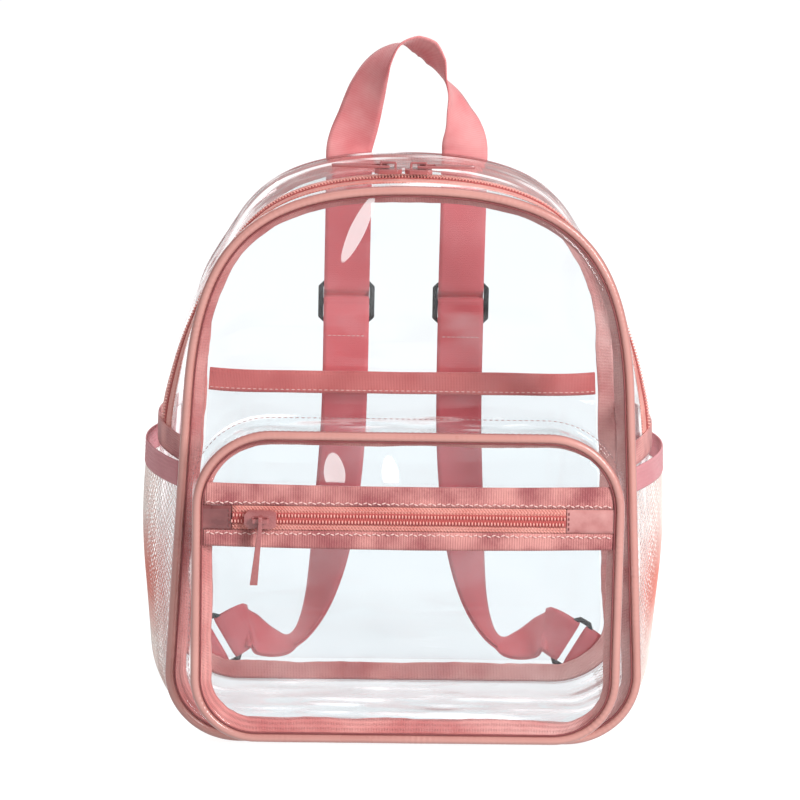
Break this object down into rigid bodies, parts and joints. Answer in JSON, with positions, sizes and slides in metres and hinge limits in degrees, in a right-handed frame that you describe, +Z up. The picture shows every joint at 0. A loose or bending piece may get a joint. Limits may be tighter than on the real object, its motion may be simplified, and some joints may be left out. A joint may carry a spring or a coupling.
{
  "type": "clear pvc backpack",
  "caption": "Small clear zip backpack with an arched body, trimmed seams, a zipped front pocket, mesh side pockets, a carrying handle and webbing shoulder straps.",
  "frame": {"origin": "on the floor, under the middle of the flat base", "axes": "+X to the right of someone who looks at the front, +Y from the front to the back with the straps, +Z up"},
  "size_m": [0.2812, 0.1847, 0.3681],
  "materials": {
    "clear_sheet": "clear glossy PVC sheet",
    "rose_gloss": "glossy rose PVC over cord",
    "coral_tape": "ribbed coral woven tape",
    "rose_webbing": "rose woven webbing",
    "rose_elastic": "ribbed rose elastic",
    "rose_mesh": "open rose knitted mesh",
    "rose_enamel": "rose enamel on zinc",
    "black_plastic": "black moulded plastic"
  },
  "bodies": {
    "bag": {"front_panel": "clear_sheet", "back_panel": "clear_sheet", "gusset_lower": "clear_sheet", "gusset_upper_front": "clear_sheet", "gusset_upper_rear": "clear_sheet", "front_piping": "rose_gloss", "front_seam_binding": "coral_tape", "back_seam_binding": "coral_tape", "top_zip_tape_front": "coral_tape", "top_zip_tape_rear": "coral_tape", "top_zip_coil": "coral_tape", "zip_end_tape_left": "coral_tape", "zip_end_tape_right": "coral_tape", "top_slider_left": "rose_enamel", "top_slider_right": "rose_enamel", "pocket_window_upper": "clear_sheet", "pocket_window_lower": "clear_sheet", "pocket_zip_band_upper": "coral_tape", "pocket_zip_band_lower": "coral_tape", "pocket_piping": "rose_gloss", "pocket_seam_binding": "coral_tape", "pocket_gusset": "clear_sheet", "pocket_zip_tape_upper": "coral_tape", "pocket_zip_tape_lower": "coral_tape", "pocket_zip_coil": "coral_tape", "pocket_zip_tab_left": "rose_gloss", "pocket_zip_tab_right": "rose_gloss", "pocket_slider": "rose_enamel", "mesh_pocket_left": "rose_mesh", "mesh_pocket_right": "rose_mesh", "elastic_band_left": "rose_elastic", "elastic_band_right": "rose_elastic", "slip_pocket_panel": "clear_sheet", "slip_pocket_tape": "coral_tape", "carry_handle": "rose_webbing", "shoulder_strap_left": "rose_webbing", "shoulder_strap_right": "rose_webbing", "strap_anchor_left": "rose_webbing", "strap_anchor_right": "rose_webbing", "strap_slider_left": "black_plastic", "strap_slider_right": "black_plastic", "strap_ring_left": "black_plastic", "strap_ring_right": "black_plastic"},
    "pocket_pull_body": {"pocket_pull": "rose_enamel"},
    "top_pull_left_body": {"top_pull_left": "rose_enamel"},
    "top_pull_right_body": {"top_pull_right": "rose_enamel"}
  },
  "joints": [
    {"name": "pocket_pull_hinge", "type": "hinge", "parent": "bag", "child": "pocket_pull_body", "pos_m": [-0.078, -0.0922, 0.131], "axis": [-1, 0, 0], "range_deg": [0, 150]},
    {"name": "top_pull_left_hinge", "type": "hinge", "parent": "bag", "child": "top_pull_left_body", "pos_m": [-0.01255, -0.023, 0.30846], "axis": [0, 1, 0], "range_deg": [0, 100]},
    {"name": "top_pull_right_hinge", "type": "hinge", "parent": "bag", "child": "top_pull_right_body", "pos_m": [0.00355, -0.023, 0.30846], "axis": [0, -1, 0], "range_deg": [0, 100]}
  ]
}
